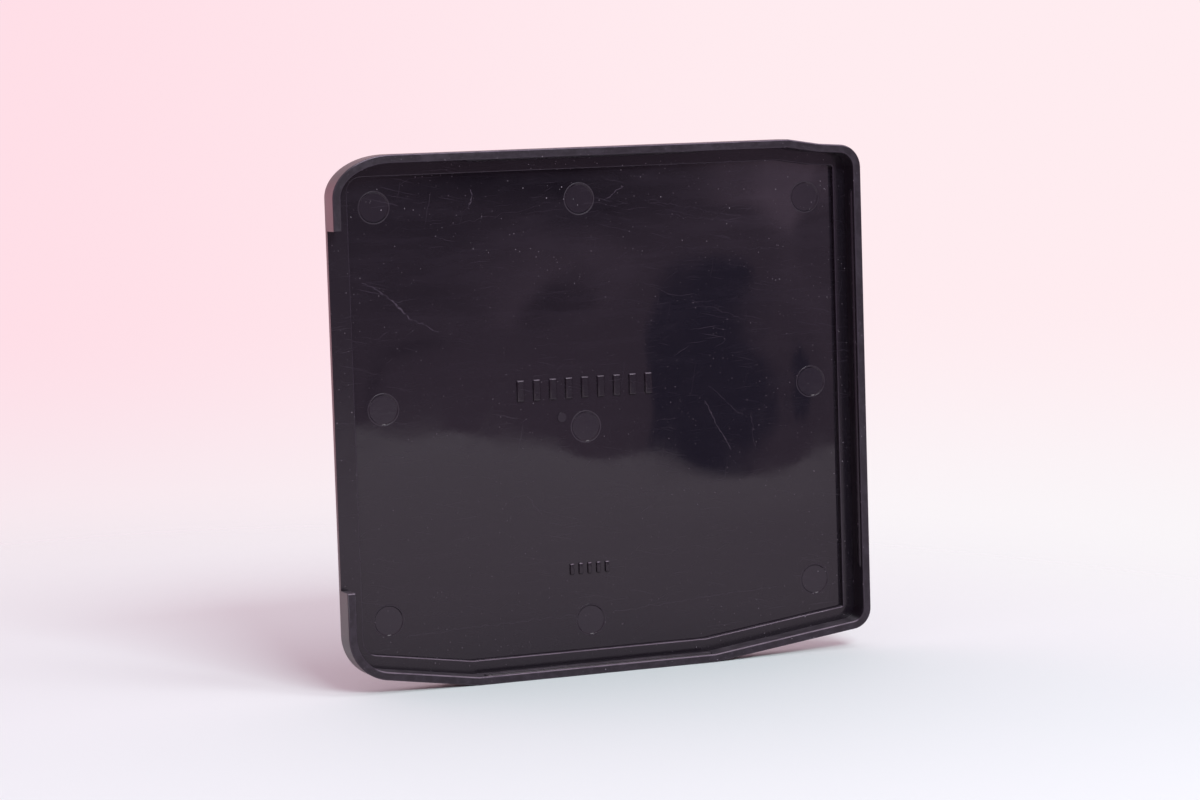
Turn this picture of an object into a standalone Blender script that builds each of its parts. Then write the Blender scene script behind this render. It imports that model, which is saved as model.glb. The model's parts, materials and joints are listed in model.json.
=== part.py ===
"""Press-fit protective cover for the open side of a film magazine.

One injection-moulded tray: a thin panel with a wall on three sides and round
the two left corners, a border ledge inside the wall, a floor sunk below that
ledge and standing out again on the back, grip beads inside the wall, round
ejector witnesses in the floor and plain raised tally marks.

The cover stands on the flat part of its bottom edge, open side towards -Y.
X runs along its width, Z is up, the origin is under the middle of its box.
Lengths at the top are in millimetres, the model is in metres.
"""
import math

import bmesh
import bpy
from mathutils import Vector

MM = 0.001

# ---- driving dimensions, millimetres -------------------------------------
WIDTH = 95.0            # X, over the walls
HEIGHT = 88.8           # Z, bottom flat to top edge
WALL_DEPTH = 5.0        # Y, rim to the back of the border
WALL = 1.4              # thickness of the outer wall
CAVITY = 3.65           # rim down to the ledge
LEDGE = 2.2             # width of the ledge, wall to step
STEP = 1.0              # ledge down to the floor
PANEL = 1.35            # thickness of the border and of the floor

# outline: the bottom edge rises to both sides, the top edge drops at the right
BOTTOM_FLAT_LEFT = 22.3
BOTTOM_FLAT_RIGHT = 65.4
LEFT_RISE = 3.3
RIGHT_RISE = 3.85
TOP_KINK_1 = 81.5
TOP_KINK_2 = 87.3
TOP_DROP_1 = 0.95
TOP_DROP_2 = 1.5
REACH_TOP_LEFT = (10.3, 6.9)    # drawn-out corner: along the top, down the side
R_BOTTOM_LEFT = 7.5
R_TOP_RIGHT = 4.0
R_BOTTOM_RIGHT = 3.6
R_STEP_LEFT = 2.5               # left corners of the sunk floor
R_STEP_RIGHT = 0.3              # its right corners, almost square

# opening in the left wall
NOTCH_LOW = 17.3
NOTCH_HIGH = 76.6

# grip beads inside the walls
BEAD_RADIUS = 0.75
BEAD_PROUD = 0.3
BEAD_FROM_RIM = 1.25
BEAD_X = (24.2, 64.6)       # along the bottom and the top wall
BEAD_Z = (14.5, 79.2)       # along the right wall

# round ejector witnesses sunk in the floor
PIN_DIAMETER = 5.0
PIN_SUNK = 0.1
PINS = (
    (8.4, 80.1), (44.6, 80.1), (86.4, 78.7),
    (8.8, 46.7), (44.6, 41.6), (86.7, 46.7),
    (8.4, 11.5), (44.4, 8.6), (86.5, 12.1),
)

# gate vestige beside the middle witness
GATE = (40.3, 43.4)
GATE_DIAMETER = 1.8
GATE_PROUD = 0.12

# two plain tallies of raised bars
MARK_PROUD = 0.4
TALLY_LARGE = dict(centre=(44.6, 48.3), count=9, pitch=2.9, bar=(1.3, 3.6))
TALLY_SMALL = dict(centre=(44.4, 17.5), count=5, pitch=1.6, bar=(0.7, 1.9))

# edge rounding
RIM_ROUND = 0.2
STEP_ROUND = 0.15
BACK_ROUND = 0.4

ARC_STEP = 9.0              # degrees per segment on the corner arcs

# ---- derived positions ----------------------------------------------------
DEPTH = CAVITY + STEP + PANEL
Y_RIM = -DEPTH / 2
Y_LEDGE = Y_RIM + CAVITY
Y_FLOOR = Y_LEDGE + STEP
Y_BORDER_BACK = Y_RIM + WALL_DEPTH
Y_BACK = Y_RIM + DEPTH
BACK_INSET = WALL + LEDGE - PANEL
X_LEFT = -WIDTH / 2

COVER_COLOUR = (0.011, 0.008, 0.012, 1.0)


# ---- outline --------------------------------------------------------------
def outline_corners():
    """Corners of the cover seen from the open side, with their radii."""
    return [
        ((BOTTOM_FLAT_LEFT, 0.0), 0.0),
        ((BOTTOM_FLAT_RIGHT, 0.0), 0.0),
        ((WIDTH, RIGHT_RISE), R_BOTTOM_RIGHT),
        ((WIDTH, HEIGHT - TOP_DROP_2), R_TOP_RIGHT),
        ((TOP_KINK_2, HEIGHT - TOP_DROP_1), 0.0),
        ((TOP_KINK_1, HEIGHT), 0.0),
        ((0.0, HEIGHT), REACH_TOP_LEFT),
        ((0.0, LEFT_RISE), R_BOTTOM_LEFT),
    ]


def inset_corners(distance, least_radius=0.0, left_radius=None):
    """The same corners moved inwards by a distance along both edges.

    Their radii shrink by that distance, or the left ones take left_radius.
    """
    corners = outline_corners()
    count = len(corners)
    moved = []
    for i in range(count):
        before = Vector(corners[i - 1][0])
        here = Vector(corners[i][0])
        after = Vector(corners[(i + 1) % count][0])
        u = (here - before).normalized()
        v = (after - here).normalized()
        nu = Vector((-u.y, u.x))
        nv = Vector((-v.y, v.x))
        # corner of the two offset lines
        mid = (nu + nv) / (1.0 + nu.dot(nv))
        radius = corners[i][1]
        if radius and left_radius and here.x == 0.0:
            radius = left_radius
        elif isinstance(radius, tuple):
            radius = tuple(reach - distance for reach in radius)
        elif radius > 0.0:
            radius = max(radius - distance, least_radius)
        point = here + mid * distance
        moved.append(((point.x, point.y), radius))
    return moved


def rounded(corners):
    """Outline points, millimetres, with an arc at each corner that has a radius.

    A pair in place of the radius gives how far a quarter ellipse reaches back
    along the edge before the corner and on along the edge after it.
    """
    points = []
    count = len(corners)
    for i in range(count):
        here = Vector(corners[i][0])
        radius = corners[i][1]
        if not radius:
            points.append(here)
            continue
        u = (Vector(corners[i - 1][0]) - here).normalized()
        v = (Vector(corners[(i + 1) % count][0]) - here).normalized()
        if isinstance(radius, tuple):
            steps = int(math.ceil(90 / ARC_STEP))
            for k in range(steps + 1):
                a = math.pi / 2 * k / steps
                points.append(here + u * (radius[0] * (1 - math.sin(a)))
                              + v * (radius[1] * (1 - math.cos(a))))
            continue
        half = u.angle(v) / 2
        centre = here + (u + v).normalized() * (radius / math.sin(half))
        start = here + u * (radius / math.tan(half)) - centre
        sweep = math.pi - 2 * half
        steps = max(2, int(math.ceil(math.degrees(sweep) / ARC_STEP)))
        for k in range(steps + 1):
            a = sweep * k / steps
            c, s = math.cos(a), math.sin(a)
            points.append(centre + Vector((start.x * c - start.y * s,
                                           start.x * s + start.y * c)))
    return points


# ---- building blocks --------------------------------------------------------
def new_collection(name):
    collection = bpy.data.collections.new(name)
    bpy.context.scene.collection.children.link(collection)
    return collection


def into(collection, ob):
    for other in list(ob.users_collection):
        other.objects.unlink(ob)
    collection.objects.link(ob)
    return ob


def slab(name, corners, y_from, y_to, collection):
    """A solid of the outline between two depths, as a mesh."""
    curve = bpy.data.curves.new(name + "_outline", "CURVE")
    curve.dimensions = "2D"
    curve.fill_mode = "BOTH"
    curve.extrude = (y_to - y_from) / 2 * MM
    spline = curve.splines.new("POLY")
    points = rounded(corners)
    spline.points.add(len(points) - 1)
    for point, target in zip(points, spline.points):
        target.co = ((point.x + X_LEFT) * MM, point.y * MM, 0.0, 1.0)
    spline.use_cyclic_u = True
    drawn = bpy.data.objects.new(name + "_outline", curve)
    drawn.rotation_euler = (math.pi / 2, 0.0, 0.0)
    drawn.location = (0.0, (y_from + y_to) / 2 * MM, 0.0)
    bpy.context.scene.collection.objects.link(drawn)
    bpy.context.view_layer.update()
    evaluated = drawn.evaluated_get(bpy.context.evaluated_depsgraph_get())
    mesh = bpy.data.meshes.new_from_object(evaluated)
    mesh.name = name
    ob = bpy.data.objects.new(name, mesh)
    ob.matrix_world = drawn.matrix_world.copy()
    bm = bmesh.new()
    bm.from_mesh(mesh)
    bmesh.ops.remove_doubles(bm, verts=bm.verts, dist=1e-6)
    bmesh.ops.dissolve_limit(bm, angle_limit=math.radians(0.5),
                             verts=bm.verts, edges=bm.edges)
    bmesh.ops.recalc_face_normals(bm, faces=bm.faces)
    bm.to_mesh(mesh)
    bm.free()
    bpy.data.objects.remove(drawn)
    bpy.data.curves.remove(curve)
    collection.objects.link(ob)
    return ob


def block(name, low, high, collection):
    """A box between two corners given in cover millimetres."""
    centre = [(a + b) / 2 for a, b in zip(low, high)]
    size = [b - a for a, b in zip(low, high)]
    bpy.ops.mesh.primitive_cube_add(
        size=1.0, location=((centre[0] + X_LEFT) * MM, centre[1] * MM, centre[2] * MM))
    ob = bpy.context.active_object
    ob.name = name
    for vertex in ob.data.vertices:
        vertex.co = Vector((vertex.co.x * size[0] * MM, vertex.co.y * size[1] * MM,
                            vertex.co.z * size[2] * MM))
    return into(collection, ob)


def disc(name, x, z, radius, y_from, y_to, sides, collection):
    """A round solid whose axis is Y."""
    bpy.ops.mesh.primitive_cylinder_add(
        vertices=sides, radius=radius * MM, depth=(y_to - y_from) * MM,
        location=((x + X_LEFT) * MM, (y_from + y_to) / 2 * MM, z * MM),
        rotation=(math.pi / 2, 0.0, 0.0))
    ob = bpy.context.active_object
    ob.name = name
    return into(collection, ob)


def bead(name, start, end, collection):
    """A round bar with domed ends between two points, millimetres."""
    a = Vector(((start[0] + X_LEFT) * MM, start[1] * MM, start[2] * MM))
    b = Vector(((end[0] + X_LEFT) * MM, end[1] * MM, end[2] * MM))
    length = (b - a).length
    radius = BEAD_RADIUS * MM
    bm = bmesh.new()
    # a sphere cut at its equator, its halves drawn apart
    bmesh.ops.create_uvsphere(bm, u_segments=20, v_segments=12, radius=radius)
    for vertex in bm.verts:
        if vertex.co.z > 1e-9:
            vertex.co.z += length / 2
    # the equator ring belongs to the lower half, which moves down
        else:
            vertex.co.z -= length / 2
    bmesh.ops.recalc_face_normals(bm, faces=bm.faces)
    mesh = bpy.data.meshes.new(name)
    bm.to_mesh(mesh)
    bm.free()
    ob = bpy.data.objects.new(name, mesh)
    ob.rotation_mode = "QUATERNION"
    ob.rotation_quaternion = Vector((0, 0, 1)).rotation_difference((b - a).normalized())
    ob.location = (a + b) / 2
    collection.objects.link(ob)
    return ob


def combine(ob, tool, operation):
    step = ob.modifiers.new(tool.name, "BOOLEAN")
    step.operation = operation
    step.solver = "EXACT"
    step.object = tool
    tool.display_type = "WIRE"
    tool.hide_render = True


def settle(ob):
    """Replace the object's mesh by its evaluated one, without modifiers."""
    bpy.context.view_layer.update()
    evaluated = ob.evaluated_get(bpy.context.evaluated_depsgraph_get())
    mesh = bpy.data.meshes.new_from_object(evaluated)
    ob.modifiers.clear()
    ob.data = mesh
    bm = bmesh.new()
    bm.from_mesh(mesh)
    bmesh.ops.remove_doubles(bm, verts=bm.verts, dist=1e-6)
    bmesh.ops.dissolve_limit(bm, angle_limit=math.radians(0.2),
                             verts=bm.verts, edges=bm.edges)
    bm.to_mesh(mesh)
    bm.free()


def plastic():
    material = bpy.data.materials.new("black_plastic")
    material.use_nodes = True
    shader = material.node_tree.nodes["Principled BSDF"]
    shader.inputs["Base Color"].default_value = COVER_COLOUR
    shader.inputs["Roughness"].default_value = 0.28
    shader.inputs["Metallic"].default_value = 0.0
    material.diffuse_color = COVER_COLOUR
    return material


# ---- the cover --------------------------------------------------------------
def build_cover(parts, cutters):
    body = slab("moulded_cover", outline_corners(), Y_RIM, Y_BORDER_BACK, parts)

    # raised field on the back, so that the sunk floor keeps its thickness
    back = slab("back_field",
                inset_corners(BACK_INSET, R_STEP_RIGHT + PANEL, R_STEP_LEFT + PANEL),
                Y_BORDER_BACK - 0.5, Y_BACK, cutters)
    combine(body, back, "UNION")

    # hollow inside the walls, down to the ledge
    cavity = slab("cavity_cut", inset_corners(WALL, 1.0), Y_RIM - 2.0, Y_LEDGE, cutters)
    combine(body, cavity, "DIFFERENCE")

    # sunk floor inside the ledge; square corners at the right
    field = slab("floor_cut", inset_corners(WALL + LEDGE, R_STEP_RIGHT, R_STEP_LEFT),
                 Y_RIM - 1.0, Y_FLOOR, cutters)
    combine(body, field, "DIFFERENCE")

    # the left wall is open between its two corners
    notch = block("notch_cut", (-2.0, Y_RIM - 1.5, NOTCH_LOW),
                  (WALL + 1.0, Y_LEDGE, NOTCH_HIGH), cutters)
    combine(body, notch, "DIFFERENCE")

    # grip beads: along the bottom, the top and the right wall
    sunk = BEAD_RADIUS - BEAD_PROUD
    y = Y_RIM + BEAD_FROM_RIM
    low = bead("bead_bottom", (BEAD_X[0], y, WALL - sunk), (BEAD_X[1], y, WALL - sunk), cutters)
    high = bead("bead_top", (BEAD_X[0], y, HEIGHT - WALL + sunk),
                (BEAD_X[1], y, HEIGHT - WALL + sunk), cutters)
    side = bead("bead_right", (WIDTH - WALL + sunk, y, BEAD_Z[0]),
                (WIDTH - WALL + sunk, y, BEAD_Z[1]), cutters)
    for tool in (low, high, side):
        combine(body, tool, "UNION")

    settle(body)
    round_edges(body)

    # ejector witnesses
    for number, (x, z) in enumerate(PINS, 1):
        tool = disc("witness_%d" % number, x, z, PIN_DIAMETER / 2,
                    Y_FLOOR - 0.4, Y_FLOOR + PIN_SUNK, 40, cutters)
        combine(body, tool, "DIFFERENCE")

    # gate vestige
    tool = disc("gate_vestige", GATE[0], GATE[1], GATE_DIAMETER / 2,
                Y_FLOOR - GATE_PROUD, Y_FLOOR + 0.3, 24, cutters)
    combine(body, tool, "UNION")

    # raised tallies
    for name, tally in (("tally_large", TALLY_LARGE), ("tally_small", TALLY_SMALL)):
        width, height = tally["bar"]
        for k in range(tally["count"]):
            x = tally["centre"][0] + (k - (tally["count"] - 1) / 2) * tally["pitch"]
            z = tally["centre"][1]
            tool = block("%s_%d" % (name, k + 1),
                         (x - width / 2, Y_FLOOR - MARK_PROUD, z - height / 2),
                         (x + width / 2, Y_FLOOR + 0.3, z + height / 2), cutters)
            combine(body, tool, "UNION")

    settle(body)
    body.data.materials.clear()
    body.data.materials.append(plastic())
    body.data.shade_smooth()
    body.data.set_sharp_from_angle(angle=math.radians(30))
    return body


def round_edges(body):
    """Bevel the outer edges of the rim, the step of the ledge and the back."""
    rounds = (
        (Y_RIM, RIM_ROUND), (Y_LEDGE, STEP_ROUND),
        (Y_BORDER_BACK, BACK_ROUND), (Y_BACK, BACK_ROUND),
    )
    mesh = body.data
    to_world = body.matrix_world
    widest = max(width for _, width in rounds)
    bm = bmesh.new()
    bm.from_mesh(mesh)
    weights = bm.edges.layers.float.new("bevel_weight_edge")
    for edge in bm.edges:
        if len(edge.link_faces) != 2 or not edge.is_convex:
            continue
        if edge.calc_face_angle() < math.radians(45):
            continue
        depth = [(to_world @ vertex.co).y / MM for vertex in edge.verts]
        for level, width in rounds:
            if all(abs(d - level) < 0.01 for d in depth):
                edge[weights] = width / widest
    bm.to_mesh(mesh)
    bm.free()
    bevel = body.modifiers.new("edges", "BEVEL")
    bevel.width = widest * MM
    bevel.segments = 2
    bevel.limit_method = "WEIGHT"
    bevel.use_clamp_overlap = False
    settle(body)


def main():
    for ob in list(bpy.data.objects):
        bpy.data.objects.remove(ob, do_unlink=True)
    parts = new_collection("magazine_cover")
    cutters = new_collection("cutters")
    build_cover(parts, cutters)
    for ob in cutters.objects:
        ob.hide_render = True
        ob.display_type = "WIRE"
        ob.hide_set(True)


main()
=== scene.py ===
"""Looks of the moulded cover: detailed mesh, plastic, table, light and camera.

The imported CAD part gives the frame. The cover's own mesh is built again here
with finer arcs, moulded edge radii and the slight waviness of a thin panel.
Lengths at the top are in millimetres, everything in the scene is in metres.
"""
import json
import math

import bmesh
import bpy
from mathutils import Matrix, Vector

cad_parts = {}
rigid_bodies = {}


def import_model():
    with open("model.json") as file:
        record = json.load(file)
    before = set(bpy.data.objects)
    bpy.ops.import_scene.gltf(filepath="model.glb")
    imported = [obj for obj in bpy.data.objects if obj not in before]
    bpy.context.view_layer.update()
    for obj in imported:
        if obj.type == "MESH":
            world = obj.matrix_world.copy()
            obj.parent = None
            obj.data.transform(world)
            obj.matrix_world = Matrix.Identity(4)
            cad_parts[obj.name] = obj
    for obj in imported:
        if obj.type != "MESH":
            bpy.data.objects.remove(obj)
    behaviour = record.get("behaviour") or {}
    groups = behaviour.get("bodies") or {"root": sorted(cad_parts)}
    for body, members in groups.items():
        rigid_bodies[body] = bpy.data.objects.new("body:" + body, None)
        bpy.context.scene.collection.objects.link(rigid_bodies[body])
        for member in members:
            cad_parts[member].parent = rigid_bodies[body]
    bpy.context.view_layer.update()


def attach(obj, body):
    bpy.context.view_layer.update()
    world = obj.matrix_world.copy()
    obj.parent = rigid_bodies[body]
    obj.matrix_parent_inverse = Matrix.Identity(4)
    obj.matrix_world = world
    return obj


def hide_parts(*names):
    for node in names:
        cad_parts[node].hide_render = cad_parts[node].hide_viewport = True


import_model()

MM = 0.001

# ---- the cover's dimensions, as in its CAD, millimetres ---------------------
WIDTH = 95.0
HEIGHT = 88.8
WALL_DEPTH = 5.0
WALL = 1.4
CAVITY = 3.65
LEDGE = 2.2
STEP = 1.0
PANEL = 1.35
BOTTOM_FLAT_LEFT = 22.3
BOTTOM_FLAT_RIGHT = 65.4
LEFT_RISE = 3.3
RIGHT_RISE = 3.85
TOP_KINK_1 = 81.5
TOP_KINK_2 = 87.3
TOP_DROP_1 = 0.95
TOP_DROP_2 = 1.5
REACH_TOP_LEFT = (10.3, 6.9)
R_BOTTOM_LEFT = 7.5
R_TOP_RIGHT = 4.0
R_BOTTOM_RIGHT = 3.6
R_STEP_LEFT = 2.5
R_STEP_RIGHT = 0.3
NOTCH_LOW = 17.3
NOTCH_HIGH = 76.6
BEAD_RADIUS = 0.75
BEAD_PROUD = 0.3
BEAD_FROM_RIM = 1.25
BEAD_X = (24.2, 64.6)
BEAD_Z = (14.5, 79.2)
PIN_DIAMETER = 5.0
PIN_SUNK = 0.1
PINS = (
    (8.4, 80.1), (44.6, 80.1), (86.4, 78.7),
    (8.8, 46.7), (44.6, 41.6), (86.7, 46.7),
    (8.4, 11.5), (44.4, 8.6), (86.5, 12.1),
)
GATE = (40.3, 43.4)
GATE_DIAMETER = 1.8
GATE_PROUD = 0.12
MARK_PROUD = 0.4
TALLY_LARGE = dict(centre=(44.6, 48.3), count=9, pitch=2.9, bar=(1.3, 3.6))
TALLY_SMALL = dict(centre=(44.4, 17.5), count=5, pitch=1.6, bar=(0.7, 1.9))
RIM_ROUND = 0.2
STEP_ROUND = 0.15
BACK_ROUND = 0.4

# finer than the CAD
ARC_STEP = 3.0
EDGE_SEGMENTS = 3
GRID = 1.25                 # spacing of the floor's mesh
PIN_TAPER = 0.12            # the witness's edge is worn to a small cone
LIP = (0.10, 0.030)         # half width and height of the lip round a witness
LIP_SHARE = (0.8, 1.1, 0.8, 0.7, 1.0, 0.7, 0.25, 0.4, 0.15)
SHOULDER = 0.28             # rounding of the raised bars

DEPTH = CAVITY + STEP + PANEL
Y_RIM = -DEPTH / 2
Y_LEDGE = Y_RIM + CAVITY
Y_FLOOR = Y_LEDGE + STEP
Y_BORDER_BACK = Y_RIM + WALL_DEPTH
Y_BACK = Y_RIM + DEPTH
BACK_INSET = WALL + LEDGE - PANEL
X_LEFT = -WIDTH / 2


# ---- outline ----------------------------------------------------------------
def outline_corners():
    return [
        ((BOTTOM_FLAT_LEFT, 0.0), 0.0),
        ((BOTTOM_FLAT_RIGHT, 0.0), 0.0),
        ((WIDTH, RIGHT_RISE), R_BOTTOM_RIGHT),
        ((WIDTH, HEIGHT - TOP_DROP_2), R_TOP_RIGHT),
        ((TOP_KINK_2, HEIGHT - TOP_DROP_1), 0.0),
        ((TOP_KINK_1, HEIGHT), 0.0),
        ((0.0, HEIGHT), REACH_TOP_LEFT),
        ((0.0, LEFT_RISE), R_BOTTOM_LEFT),
    ]


def inset_corners(distance, least_radius=0.0, left_radius=None):
    corners = outline_corners()
    count = len(corners)
    moved = []
    for i in range(count):
        before = Vector(corners[i - 1][0])
        here = Vector(corners[i][0])
        after = Vector(corners[(i + 1) % count][0])
        u = (here - before).normalized()
        v = (after - here).normalized()
        nu = Vector((-u.y, u.x))
        nv = Vector((-v.y, v.x))
        mid = (nu + nv) / (1.0 + nu.dot(nv))
        radius = corners[i][1]
        if radius and left_radius and here.x == 0.0:
            radius = left_radius
        elif isinstance(radius, tuple):
            radius = tuple(reach - distance for reach in radius)
        elif radius > 0.0:
            radius = max(radius - distance, least_radius)
        point = here + mid * distance
        moved.append(((point.x, point.y), radius))
    return moved


def rounded(corners):
    points = []
    count = len(corners)
    for i in range(count):
        here = Vector(corners[i][0])
        radius = corners[i][1]
        if not radius:
            points.append(here)
            continue
        u = (Vector(corners[i - 1][0]) - here).normalized()
        v = (Vector(corners[(i + 1) % count][0]) - here).normalized()
        if isinstance(radius, tuple):
            steps = int(math.ceil(90 / ARC_STEP))
            for k in range(steps + 1):
                a = math.pi / 2 * k / steps
                points.append(here + u * (radius[0] * (1 - math.sin(a)))
                              + v * (radius[1] * (1 - math.cos(a))))
            continue
        half = u.angle(v) / 2
        centre = here + (u + v).normalized() * (radius / math.sin(half))
        start = here + u * (radius / math.tan(half)) - centre
        sweep = math.pi - 2 * half
        steps = max(2, int(math.ceil(math.degrees(sweep) / ARC_STEP)))
        if radius < 1.0:
            steps = 6
        for k in range(steps + 1):
            a = sweep * k / steps
            c, s = math.cos(a), math.sin(a)
            points.append(centre + Vector((start.x * c - start.y * s,
                                           start.x * s + start.y * c)))
    return points


# ---- mesh helpers -----------------------------------------------------------
scratch = bpy.data.collections.new("tools")
bpy.context.scene.collection.children.link(scratch)
pieces = bpy.data.collections.new("cover")
bpy.context.scene.collection.children.link(pieces)
studio = bpy.data.collections.new("studio")
bpy.context.scene.collection.children.link(studio)


def from_bmesh(name, bm, collection):
    mesh = bpy.data.meshes.new(name)
    bm.to_mesh(mesh)
    bm.free()
    ob = bpy.data.objects.new(name, mesh)
    collection.objects.link(ob)
    return ob


def slab(name, corners, y_from, y_to, collection):
    """A closed prism of the outline between two depths, millimetres."""
    bm = bmesh.new()
    points = rounded(corners)
    near = [bm.verts.new(((p.x + X_LEFT) * MM, y_from * MM, p.y * MM)) for p in points]
    far = [bm.verts.new(((p.x + X_LEFT) * MM, y_to * MM, p.y * MM)) for p in points]
    bm.faces.new(near)
    bm.faces.new(list(reversed(far)))
    count = len(points)
    for i in range(count):
        j = (i + 1) % count
        bm.faces.new((near[j], near[i], far[i], far[j]))
    bmesh.ops.recalc_face_normals(bm, faces=bm.faces)
    return from_bmesh(name, bm, collection)


def add_cone(bm, x, z, r_near, r_far, y_near, y_far, sides):
    """A closed round solid on the Y axis with a radius at each end."""
    near, far = [], []
    for k in range(sides):
        a = 2 * math.pi * k / sides
        c, s = math.cos(a), math.sin(a)
        near.append(bm.verts.new(((x + X_LEFT + r_near * c) * MM, y_near * MM, (z + r_near * s) * MM)))
        far.append(bm.verts.new(((x + X_LEFT + r_far * c) * MM, y_far * MM, (z + r_far * s) * MM)))
    bm.faces.new(near)
    bm.faces.new(list(reversed(far)))
    for k in range(sides):
        j = (k + 1) % sides
        bm.faces.new((near[j], near[k], far[k], far[j]))


def add_bar(bm, x, z, width, height, y_top, y_root, round_edge):
    """A raised bar: its top face is inset by a rounded shoulder."""
    rings = []
    turns = 4
    levels = [(0.0, y_root)]
    for k in range(turns + 1):
        a = math.pi / 2 * k / turns
        levels.append((round_edge * (1 - math.cos(a)),
                       y_top + round_edge * (1 - math.sin(a))))
    for inset, y in levels:
        ring = []
        corner = max(0.18 - 0.8 * inset, 0.02)
        w, h = width / 2 - inset, height / 2 - inset
        for cx, cz, start in ((w, h, 0), (-w, h, 90), (-w, -h, 180), (w, -h, 270)):
            for k in range(5):
                a = math.radians(start + 22.5 * k)
                px = cx - math.copysign(corner, cx) + corner * math.cos(a)
                pz = cz - math.copysign(corner, cz) + corner * math.sin(a)
                ring.append(bm.verts.new(((x + X_LEFT + px) * MM, y * MM, (z + pz) * MM)))
        rings.append(ring)
    count = len(rings[0])
    for low, high in zip(rings, rings[1:]):
        for k in range(count):
            j = (k + 1) % count
            bm.faces.new((low[k], low[j], high[j], high[k]))
    bm.faces.new(rings[-1])
    bm.faces.new(list(reversed(rings[0])))


def add_lip(bm, x, z, radius, tall, sides):
    """A low rounded ring that stands on the floor."""
    half = LIP[0]
    profile = [(half, 0.15), (half, 0.0)]
    for k in range(1, 6):
        a = math.pi * k / 6
        profile.append((half * math.cos(a), -tall * math.sin(a)))
    profile += [(-half, 0.0), (-half, 0.15)]
    rings = []
    for dr, dy in profile:
        rings.append([bm.verts.new((
            (x + X_LEFT + (radius + dr) * math.cos(2 * math.pi * k / sides)) * MM,
            (Y_FLOOR + dy) * MM,
            (z + (radius + dr) * math.sin(2 * math.pi * k / sides)) * MM)) for k in range(sides)])
    count = len(rings)
    for i in range(count):
        a, b = rings[i], rings[(i + 1) % count]
        for k in range(sides):
            j = (k + 1) % sides
            bm.faces.new((a[k], a[j], b[j], b[k]))


def bead(name, start, end, collection):
    a = Vector(((start[0] + X_LEFT) * MM, start[1] * MM, start[2] * MM))
    b = Vector(((end[0] + X_LEFT) * MM, end[1] * MM, end[2] * MM))
    length = (b - a).length
    bm = bmesh.new()
    bmesh.ops.create_uvsphere(bm, u_segments=40, v_segments=24, radius=BEAD_RADIUS * MM)
    for vertex in bm.verts:
        if vertex.co.z > 1e-9:
            vertex.co.z += length / 2
        else:
            vertex.co.z -= length / 2
    bmesh.ops.recalc_face_normals(bm, faces=bm.faces)
    turn = Vector((0, 0, 1)).rotation_difference((b - a).normalized())
    bmesh.ops.rotate(bm, verts=bm.verts, cent=(0, 0, 0), matrix=turn.to_matrix())
    bmesh.ops.translate(bm, verts=bm.verts, vec=(a + b) / 2)
    return from_bmesh(name, bm, collection)


def combine(ob, tool, operation):
    step = ob.modifiers.new(tool.name, "BOOLEAN")
    step.operation = operation
    step.solver = "EXACT"
    step.object = tool


def settle(ob, flat=0.2):
    bpy.context.view_layer.update()
    evaluated = ob.evaluated_get(bpy.context.evaluated_depsgraph_get())
    mesh = bpy.data.meshes.new_from_object(evaluated)
    ob.modifiers.clear()
    ob.data = mesh
    bm = bmesh.new()
    bm.from_mesh(mesh)
    bmesh.ops.remove_doubles(bm, verts=bm.verts, dist=1e-6)
    if flat:
        bmesh.ops.dissolve_limit(bm, angle_limit=math.radians(flat),
                                 verts=bm.verts, edges=bm.edges)
    bm.to_mesh(mesh)
    bm.free()


def round_edges(body):
    rounds = (
        (Y_RIM, RIM_ROUND), (Y_LEDGE, STEP_ROUND),
        (Y_BORDER_BACK, BACK_ROUND), (Y_BACK, BACK_ROUND),
    )
    mesh = body.data
    widest = max(width for _, width in rounds)
    bm = bmesh.new()
    bm.from_mesh(mesh)
    weights = bm.edges.layers.float.new("bevel_weight_edge")
    for edge in bm.edges:
        if len(edge.link_faces) != 2 or not edge.is_convex:
            continue
        if edge.calc_face_angle() < math.radians(45):
            continue
        depth = [vertex.co.y / MM for vertex in edge.verts]
        for level, width in rounds:
            if all(abs(d - level) < 0.01 for d in depth):
                edge[weights] = width / widest
    bm.to_mesh(mesh)
    bm.free()
    bevel = body.modifiers.new("edges", "BEVEL")
    bevel.width = widest * MM
    bevel.segments = EDGE_SEGMENTS
    bevel.limit_method = "WEIGHT"
    bevel.use_clamp_overlap = False
    settle(body, 0.05)


def smooth(value, low, high):
    t = min(max((value - low) / (high - low), 0.0), 1.0)
    return t * t * (3 - 2 * t)


# slow waves of the floor: centre x, z, reach x, z, slope at the centre
WAVES = (
    (22.0, 34.0, 8.0, 10.0, 0.0145),
    (33.0, 36.0, 7.0, 9.0, 0.0050),
    (-2.5, 37.0, 6.8, 10.0, 0.0100),
    (-28.0, 40.0, 12.0, 12.0, 0.0040),
    (33.0, 60.0, 12.0, 12.0, -0.0060),
    (-22.0, 64.0, 14.0, 11.0, 0.0050),
    (5.0, 68.0, 14.0, 10.0, -0.0045),
    (-10.0, 18.0, 18.0, 10.0, 0.0025),
    (30.0, 14.0, 14.0, 9.0, -0.0025),
)


def wave(x, z):
    """How far the thin panel is off flat, millimetres, x from the middle."""
    total = 0.0
    for cx, cz, rx, rz, slope in WAVES:
        dx, dz = (x - cx) / rx, (z - cz) / rz
        total += slope * (z - cz) * math.exp(-0.5 * (dx * dx + dz * dz))
    total += 0.006 * math.sin(0.31 * x + 0.9) * math.cos(0.27 * z + 0.4)
    return total


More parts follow.
